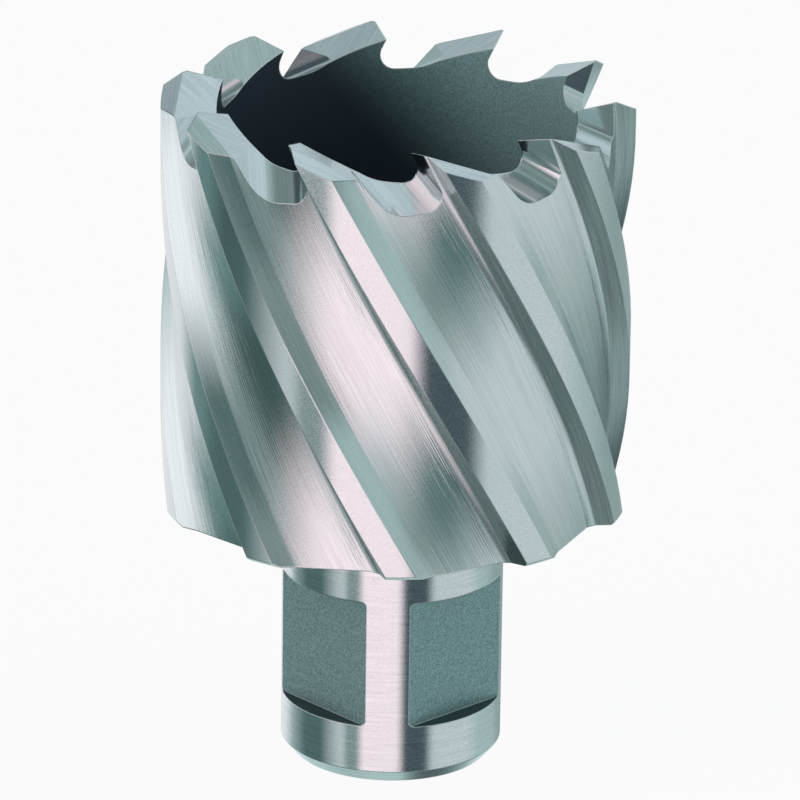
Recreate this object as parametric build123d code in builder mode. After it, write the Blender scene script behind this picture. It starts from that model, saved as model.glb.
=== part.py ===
"""Annular cutter: a hollow milling cutter with ten teeth, standing on its shank."""
import os
from math import cos, radians, sin, sqrt, tan

from build123d import *

os.makedirs("parts", exist_ok=True)

# Shank: plain drive end with two clamping flats a quarter turn apart
shank_dia = 19.05
shank_length = 23.1
shank_chamfer_in = 1.0
shank_chamfer_up = 1.2
flat_depth = 1.6
flat_bottom = 5.35
flat_top = 16.75
flat_corner = 0.6
flat_overrun = 0.05
flat_turns = (-45.0, 45.0)

# Body: a cup with the teeth round its rim
body_dia = 40.0
bore_dia = 30.6
ridge_height = 59.65
cup_floor = 28.3
underside_chamfer = 0.3
pilot_hole_dia = 6.5

# Teeth: turns are counted from the front, lags from the inner tip of a tooth
tooth_count = 10
first_tooth_turn = 6.0
ridge_share_of_wall = 0.681
ridge_lag = 5.0
tip_drop = 0.55
corner_lag = 7.0
corner_drop = 0.7
inner_relief_slope = 0.30
outer_relief_slope = 0.39
relief_lead = 6.0
relief_end_at_bore = 21.0
relief_end_outside = 30.0

# Flutes: left-hand helix, ground along the whole body
twist_per_mm = 1.664
land_angle = 7.4
bevel_angle = 4.8
bevel_depth = 1.0
bevel_overrun = 0.5
root_depth = 2.0
wall_lean = 25.0
root_chamfer = 0.5

# Gullets: a round-cornered grinding pass through the wall in front of each tooth
gullet_depth = 2.6
gullet_floor_length = 1.4
gullet_corner_round = 1.28
gullet_heel_round = 4.0
gullet_ramp = 50.0
face_rake = 27.0
gullet_sideways = 0.72
gullet_fall = 0.64

pitch = 360.0 / tooth_count
body_r = body_dia / 2
bore_r = bore_dia / 2
shank_r = shank_dia / 2
pilot_r = pilot_hole_dia / 2
ridge_radius = bore_r + ridge_share_of_wall * (body_r - bore_r)
clear = 2.0
blank_top = ridge_height + clear


def at(radius, lag):
    """Plan point at a lag behind a tooth whose inner tip is at the front."""
    return (radius * sin(radians(lag)), -radius * cos(radians(lag)))


with BuildPart() as cutter:
    # Turned blank
    with BuildSketch(Plane.XZ):
        with BuildLine():
            Polyline(
                (0, 0),
                (shank_r - shank_chamfer_in, 0),
                (shank_r, shank_chamfer_up),
                (shank_r, shank_length),
                (body_r - underside_chamfer, shank_length),
                (body_r, shank_length + underside_chamfer),
                (body_r, blank_top),
                (0, blank_top),
                close=True,
            )
        make_face()
    revolve(axis=Axis.Z)

    # Cup with a flat floor
    with BuildSketch(Plane.XZ):
        with BuildLine():
            Polyline(
                (0, cup_floor),
                (bore_r, cup_floor),
                (bore_r, blank_top + clear),
                (0, blank_top + clear),
                close=True,
            )
        make_face()
    revolve(axis=Axis.Z, mode=Mode.SUBTRACT)

    # Pilot pin hole along the shank
    with BuildSketch(Plane.XY):
        Circle(pilot_r)
    extrude(amount=cup_floor + clear, mode=Mode.SUBTRACT)

    # Clamping flats with round-cornered ends
    flat_distance = shank_r - flat_depth
    half_chord = sqrt(shank_r**2 - flat_distance**2)
    for turn in flat_turns:
        flat_plane = Plane(
            origin=(*at(flat_distance, turn), (flat_bottom + flat_top) / 2),
            x_dir=(*at(1, turn + 90), 0),
            z_dir=(*at(1, turn), 0),
        )
        with BuildSketch(flat_plane):
            RectangleRounded(2 * (half_chord + flat_overrun), flat_top - flat_bottom, flat_corner)
        extrude(amount=flat_depth + clear, mode=Mode.SUBTRACT)

    # Flute section at the height of a tooth's outer corner: leaning wall, eased root, floor, bevel
    corner_height = ridge_height - corner_drop
    corner = Vector(*at(body_r, corner_lag))
    wall_dir = Vector(*at(1, corner_lag + wall_lean))
    wall_top = corner + wall_dir * clear
    root = corner - wall_dir * (root_depth / cos(radians(wall_lean)))
    land_end_lag = corner_lag - pitch + land_angle
    land_end = Vector(*at(body_r, land_end_lag))
    bevel_end = Vector(*at(body_r - bevel_depth, land_end_lag + bevel_angle))
    bevel_top = land_end + (land_end - bevel_end) * bevel_overrun
    with BuildSketch() as flute:
        with BuildLine():
            Polyline(
                wall_top,
                root,
                bevel_end,
                bevel_top,
                at(body_r + clear, land_end_lag),
                close=True,
            )
        make_face()
        chamfer(flute.vertices().sort_by_distance(root)[0], root_chamfer)

    # Flute tool: the section twisted along the body
    flute_start = shank_length - clear
    flute_rise = blank_top + clear - flute_start
    start_turn = twist_per_mm * (corner_height - flute_start)
    flute_tool = Solid.extrude_linear_with_rotation(
        flute.sketch.face(), (0, 0, 0), (0, 0, flute_rise), -twist_per_mm * flute_rise
    ).moved(Location((0, 0, flute_start), (0, 0, start_turn)))

    # Gullet tool: its section stands in the plane that touches the bore at the inner tip
    tip = Vector(*at(bore_r, 0), ridge_height - tip_drop)
    pass_dir = Vector(gullet_sideways, -1, -gullet_fall)
    gullet_plane = Plane(origin=tip - pass_dir * clear, x_dir=(1, 0, 0), z_dir=(0, -1, 0))
    rake = radians(face_rake)
    ramp_angle = radians(gullet_ramp)
    opening = 2 * gullet_depth + 2 * clear
    face_bottom = (gullet_depth * tan(rake), -gullet_depth)
    corner_run = gullet_corner_round / tan(radians(45 - face_rake / 2))
    floor_end = (face_bottom[0] - corner_run - gullet_floor_length, -gullet_depth)
    with BuildSketch(gullet_plane) as gullet:
        with BuildLine():
            face = Line((-opening * tan(rake), opening), face_bottom)
            bottom = Line(face @ 1, floor_end)
            heel = JernArc(bottom @ 1, (-1, 0), gullet_heel_round, -gullet_ramp)
            ramp_rise = opening - (heel @ 1).Y
            ramp = Line(heel @ 1, heel @ 1 + Vector(-ramp_rise / tan(ramp_angle), ramp_rise))
            Line(ramp @ 1, face @ 0)
        make_face()
        fillet(gullet.vertices().sort_by_distance(face_bottom)[0], gullet_corner_round)
    pass_length = body_r - bore_r + 2 * clear
    gullet_tool = extrude(
        gullet.sketch, amount=pass_dir.length * pass_length, dir=pass_dir, mode=Mode.PRIVATE
    )

    # Relief tools: what lies above the two ground tops of a tooth, which meet in the ridge
    ridge = (*at(ridge_radius, ridge_lag), ridge_height)
    inward_slope = (tip_drop + inner_relief_slope * ridge[0]) / (-ridge[1] - bore_r)
    outer_fall = corner_drop - outer_relief_slope * (corner.X - ridge[0])
    outward_slope = outer_fall / (ridge[1] - corner.Y)
    inner_top = Plane(origin=ridge, z_dir=(inner_relief_slope, inward_slope, 1))
    outer_top = Plane(origin=ridge, z_dir=(outer_relief_slope, -outward_slope, 1))
    sector_bottom = ridge_height - 3 * gullet_depth
    with BuildSketch(Plane.XY.offset(sector_bottom)) as sector:
        with BuildLine():
            Polyline(
                at(bore_r - clear, -relief_lead),
                at(bore_r, -relief_lead),
                at(ridge_radius, ridge_lag - relief_lead),
                at(body_r + clear, corner_lag - relief_lead),
                at(body_r + clear, relief_end_outside),
                at(bore_r, relief_end_at_bore),
                at(bore_r - clear, relief_end_at_bore),
                close=True,
            )
        make_face()
    prism = extrude(sector.sketch, amount=blank_top + clear - sector_bottom, mode=Mode.PRIVATE)
    relief_tools = [
        split(prism, bisect_by=top, keep=Keep.TOP, mode=Mode.PRIVATE) for top in (inner_top, outer_top)
    ]

    # Every tooth is cut by the same four tools
    for index in range(tooth_count):
        turn = Location((0, 0, 0), (0, 0, first_tooth_turn + index * pitch))
        for tool in (flute_tool, gullet_tool, *relief_tools):
            add(tool.moved(turn), mode=Mode.SUBTRACT)

cutter.part.label = "cutter"
export_step(cutter.part, "parts/cutter.step")
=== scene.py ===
from math import cos, degrees, pi, radians, sin, sqrt, tan

import bmesh
import bpy
import numpy as np
from mathutils import Matrix, Vector


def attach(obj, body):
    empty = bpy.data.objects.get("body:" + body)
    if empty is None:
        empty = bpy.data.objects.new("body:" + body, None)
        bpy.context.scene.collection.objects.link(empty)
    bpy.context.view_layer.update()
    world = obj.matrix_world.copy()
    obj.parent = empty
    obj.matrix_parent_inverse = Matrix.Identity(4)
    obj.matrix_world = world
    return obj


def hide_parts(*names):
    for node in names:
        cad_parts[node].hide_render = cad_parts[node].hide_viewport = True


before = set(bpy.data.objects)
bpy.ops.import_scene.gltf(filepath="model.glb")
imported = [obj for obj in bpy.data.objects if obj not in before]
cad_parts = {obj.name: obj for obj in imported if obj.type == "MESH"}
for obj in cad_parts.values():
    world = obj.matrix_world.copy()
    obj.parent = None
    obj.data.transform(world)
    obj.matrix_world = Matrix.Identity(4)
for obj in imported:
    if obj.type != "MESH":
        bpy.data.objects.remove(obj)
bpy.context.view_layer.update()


# Camera: a long lens above the teeth, tilted down and rolled very slightly, at the
# photograph's viewing angle. Its place was worked out from the outlines of the
# shank and the body.
camera_place = Vector((0.018355, -0.55622, 0.24029))
camera_aim = Vector((0.000457, 0.000015, 0.031716))
camera_roll = radians(0.759)
lens_data = bpy.data.cameras.new("camera")
lens_data.sensor_width = 36.0
lens_data.lens = 313.08
lens_data.clip_start = 0.01
camera = bpy.data.objects.new("camera", lens_data)
look = (camera_aim - camera_place).to_track_quat("-Z", "Y").to_matrix().to_4x4()
roll = Matrix.Rotation(camera_roll, 4, "Z")
camera.matrix_world = Matrix.Translation(camera_place) @ look @ roll
bpy.context.scene.collection.objects.link(camera)
bpy.context.scene.camera = camera
bpy.context.scene.view_settings.view_transform = "Standard"


# Studio: a pale floor under the cutter, and round it soft panels and dark flags, in
# seven belts from below it to overhead. The camera sees white where the steel sees
# the belts. The panels were set against the bands in the photograph's steel.
class Shade:
    """A socket of a node tree. Sums written on it add that tree's Math nodes."""

    def __init__(self, tree, socket=None):
        self.tree = tree
        self.socket = socket

    def node(self, kind, sockets, output=0, stops=None, **settings):
        """Any node: its settings come first, then the values or links of its sockets."""
        made = self.tree.nodes.new(kind)
        for name, value in settings.items():
            setattr(made, name, value)
        if stops:
            ramp = made.color_ramp.elements
            while len(ramp) < len(stops):
                ramp.new(0.5)
            for step, (place, colour) in zip(ramp, stops):
                step.position = place
                step.color = (*colour, 1.0)
        for name, value in sockets.items():
            if isinstance(value, Shade):
                self.tree.links.new(value.socket, made.inputs[name])
            else:
                made.inputs[name].default_value = value
        return Shade(self.tree, made.outputs[output] if made.outputs else None)

    def parts(self):
        """Every output of this value's node, each as a value of its own."""
        return [Shade(self.tree, socket) for socket in self.socket.node.outputs]

    def maths(self, operation, first, second=0.0):
        return self.node("ShaderNodeMath", {0: first, 1: second}, operation=operation)

    def __add__(self, other):
        return self.maths("ADD", self, other)

    def __radd__(self, other):
        return self.maths("ADD", other, self)

    def __sub__(self, other):
        return self.maths("SUBTRACT", self, other)

    def __rsub__(self, other):
        return self.maths("SUBTRACT", other, self)

    def __mul__(self, other):
        return self.maths("MULTIPLY", self, other)

    def __rmul__(self, other):
        return self.maths("MULTIPLY", other, self)

    def __truediv__(self, other):
        return self.maths("DIVIDE", self, other)

    def __rtruediv__(self, other):
        return self.maths("DIVIDE", other, self)

    def step(self, low, high):
        """Soft step from 0 to 1 between two values."""
        ends = {"Value": self, "From Min": low, "From Max": high}
        return self.node("ShaderNodeMapRange", ends, interpolation_type="SMOOTHSTEP")

    def mix(self, first, second):
        """Colour that goes from the first to the second as this value goes from 0 to 1."""
        ends = {0: self}
        for name, value in ((6, first), (7, second)):
            ends[name] = value if isinstance(value, Shade) else (*value, 1.0)
        return self.node("ShaderNodeMix", ends, output=2, data_type="RGBA")


world = bpy.data.worlds.new("studio")
bpy.context.scene.world = world
world.use_nodes = True
world.node_tree.nodes.clear()
sky = Shade(world.node_tree)
direction = sky.node("ShaderNodeTexCoord", {})
way_x, way_y, way_z = sky.node("ShaderNodeSeparateXYZ", {0: direction}).parts()
in_degrees = 180.0 / pi
turn = way_x.maths("ARCTAN2", way_x, way_y * -1.0) * in_degrees
rise = way_z.maths("ARCSINE", way_z) * in_degrees

white = (1.0, 0.985, 1.0)
pale = (0.94, 1.01, 1.03)
pink = (1.13, 0.93, 0.98)
blue = (0.88, 1.02, 1.07)
mist = (0.84, 1.08, 1.06)
teal = (0.66, 1.13, 1.09)
slate = (0.76, 1.05, 1.19)


def belt(panels, slant=0.0, level=0.0):
    """Panels and flags all round the cutter in one belt of height: where each starts
    and ends in degrees, how bright it is, and its tint. The light fades evenly from
    one to the next, and in a slanted belt they lean sideways as they rise past a level."""
    place = (turn - (rise - level) * slant + 180.0) / 360.0
    stops = []
    for start, end, light, tint in panels:
        colour = tuple(light * part for part in tint)
        stops += [((start + 180.0) / 360.0, colour), ((end + 180.0) / 360.0, colour)]
    return sky.node("ShaderNodeValToRGB", {0: place}, stops=stops)


# Low panels and two flags, which the leaning flute walls show
below = belt((
    (-180, -150, 0.62, mist), (-112, -100, 0.03, teal), (-45, 45, 0.21, mist),
    (68, 98, 0.38, mist), (112, 148, 0.09, slate), (166, 180, 0.62, mist),
))
# Softbox in front, a weak strip lamp left of it, flags beside both, a pale wall to the right
upright = belt((
    (-180, -150, 0.76, blue), (-104, -80, 0.15, teal), (-57, -52, 0.66, pale),
    (-46, -36, 0.32, mist), (-28, 9, 1.10, pink), (18, 40, 0.10, slate),
    (50, 92, 0.71, pale), (112, 132, 0.56, mist), (176, 180, 0.76, blue),
))
# The same softbox higher up, leaning to the right, as the flute floors show it
softbox_slant = 1.55
softbox_level = -20.0
leaning = belt((
    (-180, -126, 0.90, white), (-108, -98, 0.24, teal), (-84, -60, 0.10, teal),
    (-32, 3, 1.12, pink), (24, 36, 0.19, teal), (62, 92, 0.71, pale), (140, 180, 0.38, mist),
), softbox_slant, softbox_level)
leaning_top = belt((
    (-180, -150, 0.60, blue), (-128, -104, 1.10, white), (-76, -56, 0.33, mist),
    (-30, -9, 1.00, pink), (3, 5, 0.64, pale), (26, 32, 0.30, mist),
    (58, 88, 0.71, pale), (112, 124, 0.44, mist), (140, 180, 0.66, blue),
), softbox_slant, softbox_level)
# White reflector to the left at eye level, and a long flag above the softbox
eye_level = belt((
    (-180, -126, 0.44, mist), (-104, -62, 1.12, white), (-36, -14, 0.15, teal),
    (0, 30, 0.29, mist), (40, 96, 0.56, mist), (110, 145, 0.40, mist), (164, 180, 0.68, blue),
))
raised = belt((
    (-180, -150, 0.52, blue), (-136, -94, 0.09, slate), (-76, -62, 0.90, pink),
    (-40, 0, 0.32, mist), (40, 54, 0.14, teal), (68, 152, 0.68, blue), (175, 180, 0.56, blue),
))
overhead = belt((
    (-180, -155, 0.48, mist), (-130, -108, 0.26, mist), (-72, -62, 0.78, pink),
    (0, 85, 0.38, mist), (120, 165, 0.72, blue), (178, 180, 0.50, mist),
))
# Each belt takes over from the one below between two rises, in degrees
studio = below
for foot, head, light in (
    (-41, -35, upright),
    (-28, -25, leaning),
    (-12, -4, leaning_top),
    (3, 7, eye_level),
    (11, 20, raised),
    (44, 60, overhead),
):
    studio = rise.step(foot, head).mix(studio, light)

clear_white = (1.0, 1.0, 1.0)
seen_by_camera = sky.node("ShaderNodeLightPath", {}, output="Is Camera Ray")
backdrop = seen_by_camera.mix(studio, clear_white)
lamp = sky.node("ShaderNodeBackground", {"Color": backdrop, "Strength": 1.0})
sky.node("ShaderNodeOutputWorld", {"Surface": lamp})

# The camera sees the floor mostly as white light, and the rest of it keeps the shadow
floor_reach = 3.0
floor_whiteness = 0.94
sheet = bmesh.new()
bmesh.ops.create_grid(sheet, x_segments=1, y_segments=1, size=floor_reach)
floor_mesh = bpy.data.meshes.new("floor")
sheet.to_mesh(floor_mesh)
sheet.free()
floor = bpy.data.objects.new("floor", floor_mesh)
bpy.context.scene.collection.objects.link(floor)
floor_look = bpy.data.materials.new("floor")
floor_look.use_nodes = True
floor_look.node_tree.nodes.clear()
ground = Shade(floor_look.node_tree)
paper_colour = (0.9, 0.9, 0.9, 1.0)
paper = ground.node("ShaderNodeBsdfPrincipled", {"Base Color": paper_colour, "Roughness": 0.9})
lit = ground.node("ShaderNodeEmission", {"Color": (*clear_white, 1.0), "Strength": 1.0})
lit_share = ground.node("ShaderNodeLightPath", {}, output="Is Camera Ray") * floor_whiteness
both = ground.node("ShaderNodeMixShader", {0: lit_share, 1: paper, 2: lit})
ground.node("ShaderNodeOutputMaterial", {"Surface": both})
floor_mesh.materials.append(floor_look)
floor.visible_glossy = False


# Cutter: one piece of high-speed steel, turned, then ground along its flutes,
# gullets and reliefs. Its grinding lines follow each wheel's own way across it.
# Lengths are in mm and turns in degrees, as in the part's source.
mm = 0.001
tooth_count = 10
pitch = 360.0 / tooth_count
first_turn = 6.0
body_r = 20.0
bore_r = 15.3
shank_r = 9.525
pilot_r = 3.25
shank_length = 23.1
cup_floor = 28.3
ridge_height = 59.65
corner_height = 58.95
twist = 1.664
teeth_foot = 48.0
out_of_reach = 9.0


def at(radius, lag):
    """Plan point at a lag behind the front, in degrees."""
    return np.array([radius * sin(radians(lag)), -radius * cos(radians(lag))])


def turned(points, angle):
    """Points turned about the cutter's axis by degrees, one angle or one for each."""
    angle = np.radians(angle)
    x, y, z = points.T
    across = x * np.cos(angle) - y * np.sin(angle)
    back = x * np.sin(angle) + y * np.cos(angle)
    return np.stack([across, back, z], 1)


def unit(ways):
    """Rows of numbers, each brought to length 1."""
    return ways / np.maximum(np.linalg.norm(ways, axis=1), 1e-12)[:, None]


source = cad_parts["cutter"]
blank = bmesh.new()
blank.from_mesh(source.data)
bmesh.ops.remove_doubles(blank, verts=blank.verts, dist=1e-7)
cutter_mesh = bpy.data.meshes.new("ground_cutter")
blank.to_mesh(cutter_mesh)
blank.free()
cutter = bpy.data.objects.new("ground_cutter", cutter_mesh)
bpy.context.scene.collection.objects.link(cutter)
cutter_mesh.materials.clear()

points = np.zeros(len(cutter_mesh.vertices) * 3)
cutter_mesh.vertices.foreach_get("co", points)
points = points.reshape(-1, 3) / mm
faces = np.array([list(face.vertices) for face in cutter_mesh.polygons])
corners = points[faces]
face_way = unit(np.cross(corners[:, 1] - corners[:, 0], corners[:, 2] - corners[:, 0]))
around = np.degrees(np.arctan2(points[:, 0], -points[:, 1]))
reach = np.hypot(points[:, 0], points[:, 1])
height = points[:, 2]
level_zero = np.zeros(len(points))
every_point = np.ones((len(points), 1))
upwards = np.array([0.0, 0.0, 1.0])
outward = np.stack([points[:, 0] / reach, points[:, 1] / reach, level_zero], 1)
up = every_point * upwards

best = np.full(len(faces), 1e9)
kind = np.full(len(faces), "unknown", dtype=object)
way_out = np.repeat(face_way[:, None, :], 3, axis=1)
lines = np.zeros((len(faces), 3, 2))
facing_weight = 0.05


def claim(name, off, normals, pattern):
    """Give a face to the surface that its three corners lie on, with that surface's
    own normals and its way of counting across and along the tool marks."""
    here = normals[faces]
    facing = np.einsum("fcx,fx->fc", here, face_way)
    here = here * np.sign(facing.sum(1))[:, None, None]
    cost = np.abs(off)[faces].max(1) + facing_weight * (1.0 - np.abs(facing).min(1))
    won = cost < best
    best[won] = cost[won]
    kind[won] = name
    way_out[won] = here[won]
    lines[won] = pattern[faces][won]


# Turned surfaces: their tool marks run round the axis. The normals of shank and
# lands lean down a little, which shows the softbox as the photograph does.
downward_lean = 0.09
arc = np.radians(around) * reach
rings = np.stack([reach, arc], 1)
round_marks = np.stack([height, arc], 1)
upright_way = unit(outward - downward_lean * up)
claim("shank_end", height, up, rings)
claim("underside", height - shank_length, up, rings)
claim("cup_floor", height - cup_floor, up, rings)
claim("shank", reach - shank_r, upright_way, round_marks)
claim("land", reach - body_r, upright_way, round_marks)
claim("bore", reach - bore_r, outward, round_marks)
claim("pilot_hole", reach - pilot_r, outward, round_marks)


def cone(radius, z, run, climb):
    """Chamfer that starts at a radius and height and goes run out and climb up."""
    length = sqrt(run * run + climb * climb)
    off = ((reach - radius) * climb - (height - z) * run) / length
    claim("chamfer", off, (outward * climb - upwards * run) / length, round_marks)


shank_chamfer_in, shank_chamfer_up = 1.0, 1.2
underside_chamfer = 0.3
cone(shank_r - shank_chamfer_in, 0.0, shank_chamfer_in, shank_chamfer_up)
cone(body_r - underside_chamfer, shank_length, underside_chamfer, underside_chamfer)

# Clamping flats: milled, with round-cornered ends that leave a ledge
flat_bottom, flat_top, flat_corner = 5.35, 16.75, 0.6
flat_depth, flat_overrun, flat_margin = 1.6, 0.05, 0.1
corner_window = 2.0
flat_distance = shank_r - flat_depth
half_flat = sqrt(shank_r**2 - flat_distance**2) + flat_overrun
for flat_turn in (-45.0, 45.0):
    local = turned(points, -flat_turn)
    face_out = turned(np.array([[0.0, -1.0, 0.0]]), flat_turn)[0]
    marks = np.stack([local[:, 0], local[:, 2]], 1)
    claim("flat", -local[:, 1] - flat_distance, every_point * face_out, marks)
    for ledge_z, side in ((flat_bottom, 1.0), (flat_top, -1.0)):
        on_flat = np.abs(local[:, 0]) < half_flat + flat_margin
        claim("ledge", np.where(on_flat, height - ledge_z, out_of_reach), up * side, marks)
        for end in (-1.0, 1.0):
            centre_x = end * (half_flat - flat_corner)
            centre_z = ledge_z + side * flat_corner
            spoke = np.stack([local[:, 0] - centre_x, level_zero, local[:, 2] - centre_z], 1)
            span = np.linalg.norm(spoke, axis=1)
            off = np.where(span < corner_window, span - flat_corner, out_of_reach)
            claim("ledge", off, turned(unit(spoke), flat_turn), marks)

# Flutes: a section that turns with height, so each normal leans with the helix
corner_lag = 7.0
wall_lean = 25.0
root_depth, root_chamfer = 2.0, 0.5
land_angle = 7.4
bevel_depth, bevel_angle = 1.0, 4.8
wall_way = at(1, corner_lag + wall_lean)
corner_point = at(body_r, corner_lag)
root = corner_point - wall_way * (root_depth / cos(radians(wall_lean)))
land_end_lag = corner_lag - pitch + land_angle
land_end = at(body_r, land_end_lag)
bevel_end = at(body_r - bevel_depth, land_end_lag + bevel_angle)
floor_way = (bevel_end - root) / np.linalg.norm(bevel_end - root)
root_on_wall = root + wall_way * root_chamfer
root_on_floor = root + floor_way * root_chamfer
sections = (
    ("wall", corner_point, root_on_wall),
    ("root", root_on_wall, root_on_floor),
    ("flute", root_on_floor, bevel_end),
    ("bevel", bevel_end, land_end),
)


def open_side(start, end):
    """Normal of a stretch of the flute's section, towards the open flute."""
    run = (end - start) / np.linalg.norm(end - start)
    normal = np.array([run[1], -run[0]])
    return normal if normal @ (start + end) > 0 else -normal


# For looks alone the root's normals stop part of the way to the wall's, and the
# floor's swell, so that the bands of light in a flute bend as they do in the real one
wall_normal = open_side(corner_point, root_on_wall)
floor_normal = open_side(root_on_floor, bevel_end)
root_towards_wall = 0.35
floor_swell = radians(5.0)
stretch_margin = 0.6
flute_middle = at(1, -7.0)
tooth_marks_apart = 3.7
marks_per_rise = 1.16
helix = radians(twist)
for tooth in range(tooth_count):
    flute_turn = first_turn + tooth * pitch + twist * (corner_height - height)
    local = turned(points, -flute_turn)
    plan_points = local[:, :2]
    in_flute = plan_points @ flute_middle > 0
    travelled = tooth_marks_apart * tooth
    for name, start, end in sections:
        length = np.linalg.norm(end - start)
        run = (end - start) / length
        normal = open_side(start, end)
        along = (plan_points - start) @ run
        share = np.clip(along / length, 0.0, 1.0)[:, None]
        on_stretch = (along > -stretch_margin) & (along < length + stretch_margin) & in_flute
        off = np.where(on_stretch, (plan_points - start) @ normal, out_of_reach)
        if name == "root":
            towards_wall = root_towards_wall * (1 - share)
            plan = wall_normal * towards_wall + floor_normal * (1 - towards_wall)
        elif name == "flute":
            swell = floor_swell * (1 - 2 * share)
            plan = normal * np.cos(swell) + run * np.sin(swell)
        else:
            plan = every_point * normal
        plan = unit(plan)
        lean = -helix * (plan[:, 0] * plan_points[:, 1] - plan[:, 1] * plan_points[:, 0])
        normals = unit(np.concatenate([plan, lean[:, None]], 1))
        marks = np.stack([travelled + along, height * marks_per_rise], 1)
        claim(name, off, turned(normals, flute_turn), marks)
        travelled += length

# Gullets: a round-cornered wheel goes slanting out through the wall
gullet_depth, gullet_floor_length = 2.6, 1.4
round_r, heel_r = 1.28, 4.0
tip_drop = 0.55
rake = radians(27.0)
ramp = radians(50.0)
pass_way = np.array([0.72, -1.0, -0.64])
tip = np.array([0.0, -bore_r, ridge_height - tip_drop])
foot = np.array([gullet_depth * tan(rake), -gullet_depth])
round_centre = np.array([foot[0] - round_r / tan(pi / 4 - rake / 2), foot[1] + round_r])
heel_centre = np.array([round_centre[0] - gullet_floor_length, foot[1] + heel_r])
face_normal = np.array([-cos(rake), -sin(rake)])
floor_up = np.array([0.0, 1.0])
ramp_normal = np.array([sin(ramp), cos(ramp)])
ramp_start = heel_centre - heel_r * ramp_normal
gullet_half_width, gullet_inner_edge = 14.0, -10.0
gullet_marks_apart = 11.3
floor_marks_from, ramp_marks_from = -5.0, -10.0
round_margin = 4.0


def gullet(off, plan, across):
    """One stretch of the wheel's round-cornered section, on the tooth at hand."""
    back = -(plan[:, 0] * pass_way[0] + plan[:, 1] * pass_way[2]) / pass_way[1]
    normals = unit(np.stack([plan[:, 0], back, plan[:, 1]], 1))
    marks = np.stack([across + gullet_marks_apart * tooth, gone * np.linalg.norm(pass_way)], 1)
    claim("gullet", np.where(near, off, out_of_reach), turned(normals, tooth_turn), marks)


for tooth in range(tooth_count):
    tooth_turn = first_turn + tooth * pitch
    local = turned(points, -tooth_turn)
    gone = (local[:, 1] - tip[1]) / pass_way[1]
    seen = (local - tip - gone[:, None] * pass_way)[:, [0, 2]]
    near = (np.abs(local[:, 0]) < gullet_half_width) & (local[:, 1] < gullet_inner_edge)
    near &= height > teeth_foot
    gullet(seen @ face_normal, every_point * face_normal, seen[:, 1])
    gullet(seen[:, 1] - foot[1], every_point * floor_up, floor_marks_from + seen[:, 0])
    ramp_across = ramp_marks_from + seen[:, 0] / cos(ramp)
    gullet((seen - ramp_start) @ ramp_normal, every_point * ramp_normal, ramp_across)
    for centre, radius, low, high in (
        (round_centre, round_r, -90.0, degrees(rake)),
        (heel_centre, heel_r, -90.0 - degrees(ramp), -90.0),
    ):
        spoke = seen - centre
        span = np.linalg.norm(spoke, axis=1)
        angle = np.degrees(np.arctan2(spoke[:, 1], spoke[:, 0]))
        inside = (angle > low - round_margin) & (angle < high + round_margin)
        off = np.where(inside, span - radius, out_of_reach)
        gullet(off, -unit(spoke), np.radians(angle) * radius)

# Reliefs: two flat ground tops on each tooth, which meet in its ridge
ridge_share_of_wall, ridge_lag = 0.681, 5.0
corner_drop = 0.7
inner_slope, outer_slope = 0.30, 0.39
inner_marks_turn, outer_marks_turn = 62.0, 12.0
relief_half_width, relief_inner_edge = 12.0, -9.0
relief_marks_apart = 7.1
ridge = np.array([*at(bore_r + ridge_share_of_wall * (body_r - bore_r), ridge_lag), ridge_height])
inward = (tip_drop + inner_slope * ridge[0]) / (-ridge[1] - bore_r)
outer_fall = corner_drop - outer_slope * (corner_point[0] - ridge[0])
outward_fall = outer_fall / (ridge[1] - corner_point[1])
for tooth in range(tooth_count):
    tooth_turn = first_turn + tooth * pitch
    local = turned(points, -tooth_turn)
    x, y = local[:, 0], local[:, 1]
    near = (np.abs(x) < relief_half_width) & (y < relief_inner_edge) & (height > teeth_foot)
    for name, slope, marks_turn in (
        ("relief", np.array([[inner_slope, inward, 1.0]]), inner_marks_turn),
        ("outer_relief", np.array([[outer_slope, -outward_fall, 1.0]]), outer_marks_turn),
    ):
        slope = unit(slope)[0]
        off = np.where(near, (local - ridge) @ slope, out_of_reach)
        line = radians(marks_turn)
        across = x * sin(line) - y * cos(line) + relief_marks_apart * tooth
        marks = np.stack([across, x * cos(line) + y * sin(line)], 1)
        claim(name, off, turned(every_point * slope, tooth_turn), marks)

cutter_mesh.normals_split_custom_set(way_out.reshape(-1, 3).tolist())
marks_map = cutter_mesh.uv_layers.new(name="tool_marks")
marks_map.data.foreach_set("uv", lines.reshape(-1))

ground_tone = (0.70, 0.765, 0.775)
# Pale tone of the painted highlight along the edges
edge_highlight_tone = (0.95, 0.97, 0.98)
edge_radius = 0.14 * mm
mark_depth = 0.02 * mm
grains_per_metre = 6500.0


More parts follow.
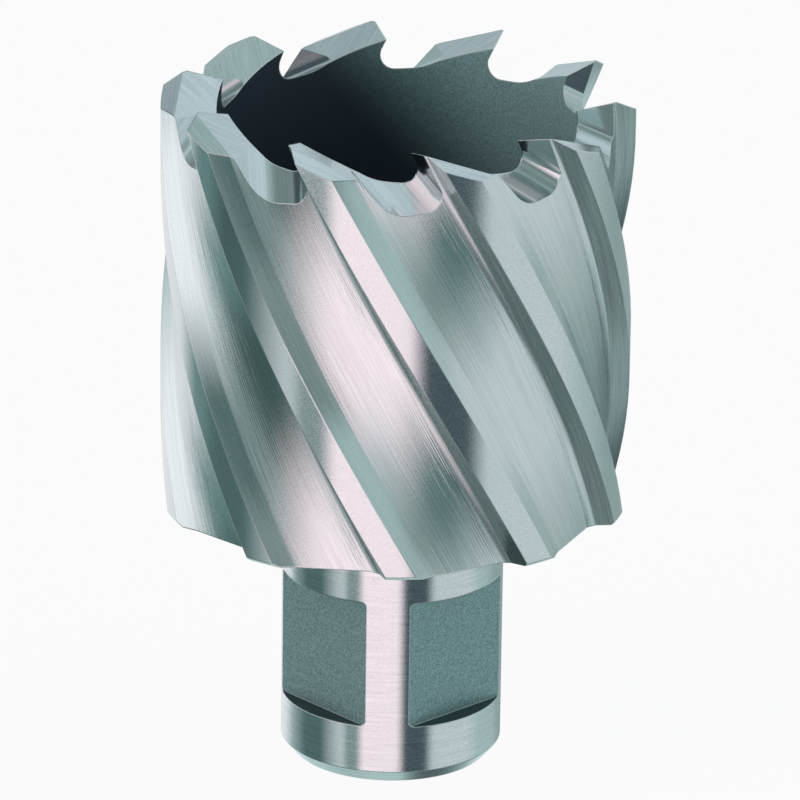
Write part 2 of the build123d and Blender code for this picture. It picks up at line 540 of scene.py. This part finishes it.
def steel(name, spacing, stretch, hair, streak, grain, rough, bump,
          tone=ground_tone, contrast=0.12, metal=1.0, painted_lit_tone=None):
    """Ground steel: hairlines along the tool marks, broader streaks, a dull grain, and
    edges with rounded normals and a painted highlight. Given a lit tone, it paints light
    and shade across a bore. Spacing is in mm, stretch in times."""
    made = bpy.data.materials.new(name)
    made.use_nodes = True
    made.node_tree.nodes.clear()
    coat = Shade(made.node_tree)
    marks = coat.node("ShaderNodeUVMap", {}, uv_map="tool_marks")

    def noise(across, along, detail):
        scale = {0: marks, 1: (1.0 / across, 1.0 / along, 1.0)}
        stretched = coat.node("ShaderNodeVectorMath", scale, operation="MULTIPLY")
        look = {"Vector": stretched, "Scale": 1.0, "Detail": detail}
        return coat.node("ShaderNodeTexNoise", look)

    hairlines = noise(spacing, spacing * stretch, 3.0)
    streaks = noise(spacing * 5.0, spacing * stretch * 3.0, 2.0)
    place = coat.node("ShaderNodeTexCoord", {}, output="Object")
    speckle = {"Vector": place, "Scale": grains_per_metre, "Detail": 3.0}
    grains = coat.node("ShaderNodeTexNoise", speckle)

    # Where the rounded normal leaves the face's own, one of the mesh's edges is near; there the
    # colour is lightened, a painted highlight
    eased = coat.node("ShaderNodeBevel", {"Radius": edge_radius}, samples=6)
    facing = coat.node("ShaderNodeNewGeometry", {}, output="Normal")
    pair = {0: eased, 1: facing}
    agreed = coat.node("ShaderNodeVectorMath", pair, output="Value", operation="DOT_PRODUCT")
    highlight_edge = 1.0 - agreed.step(0.90, 0.99)

    marked = hairlines * hair + streaks * streak + grains * grain
    raised_marks = {"Strength": bump, "Distance": mark_depth, "Height": marked, "Normal": eased}
    normal = coat.node("ShaderNodeBump", raised_marks)

    gain = 1.6
    lighter = (hairlines - 0.5) * (gain * hair)
    lighter = lighter + (streaks - 0.5) * (gain * streak)
    lighter = lighter + (grains - 0.5) * (gain * grain)
    dark_tone = [part * (1.0 - contrast) for part in tone]
    light_tone = [min(1.0, part * (1.0 + contrast)) for part in tone]
    metal_shade = (lighter * 0.5 + 0.5).step(0.2, 0.8).mix(dark_tone, light_tone)
    if painted_lit_tone:
        # The bore is painted lighter towards the part's right-hand side and its rim: painted
        # light where light falling in past the left rim reaches the wall, with a slanting painted
        # shadow edge from that rim. The grain varies it at random.
        from_middle, _, above_end = coat.node("ShaderNodeSeparateXYZ", {0: place}).parts()
        depth = 59.0 - above_end * 1000.0
        open_side_light = (from_middle * 1000.0 - depth * 0.8).step(-10.0, 5.0)
        painted_light_share = open_side_light * (0.7 + (grains - 0.5) * 1.2)
        metal_shade = painted_light_share.mix(tone, painted_lit_tone)
    # Along the edges the colour is lightened towards the pale tone: a painted highlight
    shade = (highlight_edge * 0.8).mix(metal_shade, edge_highlight_tone)
    roughness = rough + (hairlines - 0.5) * 0.10 + (grains - 0.5) * (grain * 0.2)
    finish = {"Base Color": shade, "Metallic": metal, "Roughness": roughness, "Normal": normal}
    shader = coat.node("ShaderNodeBsdfPrincipled", finish)
    coat.node("ShaderNodeOutputMaterial", {"Surface": shader})
    return made


# Finish of each surface, in the order of the mesh's material slots
finishes = (
    (("shank", "chamfer", "underside", "shank_end"), steel(
        "turned", spacing=0.07, stretch=70.0, hair=0.8, streak=0.4, grain=0.7,
        rough=0.12, bump=0.12, contrast=0.18)),
    (("flat",), steel(
        "milled_flat", spacing=0.12, stretch=1.2, hair=0.5, streak=0.4, grain=1.6,
        rough=0.55, bump=0.35, tone=(0.33, 0.50, 0.50), contrast=0.34, metal=0.4)),
    # The ledges' near-black tone is painted shade and reflection: a ledge lies under the flat and
    # mirrors its dark foot
    (("ledge",), steel(
        "milled_ledge_painted_shade", spacing=0.12, stretch=6.0, hair=0.5, streak=0.4, grain=0.6,
        rough=0.45, bump=0.2, tone=(0.07, 0.11, 0.12), contrast=0.25, metal=0.6)),
    (("land",), steel(
        "ground_land", spacing=0.09, stretch=3.0, hair=0.5, streak=0.2, grain=0.8,
        rough=0.12, bump=0.10)),
    (("flute",), steel(
        "ground_flute", spacing=0.11, stretch=95.0, hair=1.4, streak=0.5, grain=0.25,
        rough=0.11, bump=0.80, contrast=0.10)),
    (("wall", "root"), steel(
        "ground_wall", spacing=0.10, stretch=60.0, hair=1.0, streak=0.5, grain=0.3,
        rough=0.25, bump=0.35, contrast=0.22)),
    (("bevel",), steel(
        "ground_bevel", spacing=0.10, stretch=60.0, hair=0.6, streak=0.4, grain=0.4,
        rough=0.14, bump=0.14, contrast=0.14)),
    (("gullet",), steel(
        "ground_gullet", spacing=0.10, stretch=60.0, hair=0.8, streak=0.4, grain=0.3,
        rough=0.17, bump=0.12)),
    (("relief",), steel(
        "ground_relief", spacing=0.12, stretch=50.0, hair=1.0, streak=0.3, grain=0.3,
        rough=0.17, bump=0.20, contrast=0.20)),
    (("outer_relief",), steel(
        "ground_outer_relief", spacing=0.12, stretch=50.0, hair=1.0, streak=0.4, grain=0.3,
        rough=0.17, bump=0.20, contrast=0.20)),
    (("cup_floor", "pilot_hole"), steel(
        "turned_cup", spacing=0.12, stretch=40.0, hair=0.6, streak=0.4, grain=0.6,
        rough=0.35, bump=0.15, tone=(0.30, 0.36, 0.37), contrast=0.25, metal=0.8)),
    # The bore's near-black tone is painted shade, and its lighter tone is painted light
    (("bore",), steel(
        "bored_painted_shade_and_light", spacing=0.12, stretch=1.5, hair=0.5, streak=0.3, grain=1.0,
        rough=0.5, bump=0.2, tone=(0.045, 0.060, 0.085), contrast=0.4, metal=0.15,
        painted_lit_tone=(0.66, 1.0, 1.0))),
)
slot_of = {}
for index, (names, material) in enumerate(finishes):
    cutter_mesh.materials.append(material)
    for name in names:
        slot_of[name] = index
cutter_mesh.polygons.foreach_set("material_index", [slot_of[name] for name in kind])
cutter_mesh.update()

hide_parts("cutter")
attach(cutter, "root")
